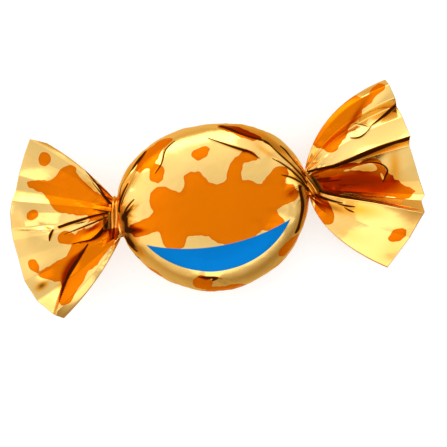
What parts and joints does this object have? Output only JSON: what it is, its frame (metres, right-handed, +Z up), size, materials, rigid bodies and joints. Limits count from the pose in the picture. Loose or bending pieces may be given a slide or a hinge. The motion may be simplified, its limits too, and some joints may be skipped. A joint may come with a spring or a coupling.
{
  "type": "twist-wrapped butter toffee",
  "caption": "Flattened round butter toffee in a printed gold film wrapper, gathered and twisted at each end into a pleated fan; it lies on its broad face.",
  "frame": {"origin": "bottom centre of the sweet's box, on the surface it rests on", "axes": "+X along the sweet from the left fan to the right one, +Z up through its broad face"},
  "size_m": [0.0602, 0.0276, 0.0133],
  "materials": {
    "printed_gold_film": "glossy gold-metallised film with orange splashes and a plain blue band printed on it"
  },
  "bodies": {
    "root": {"wrapped_toffee": "printed_gold_film"}
  },
  "joints": []
}
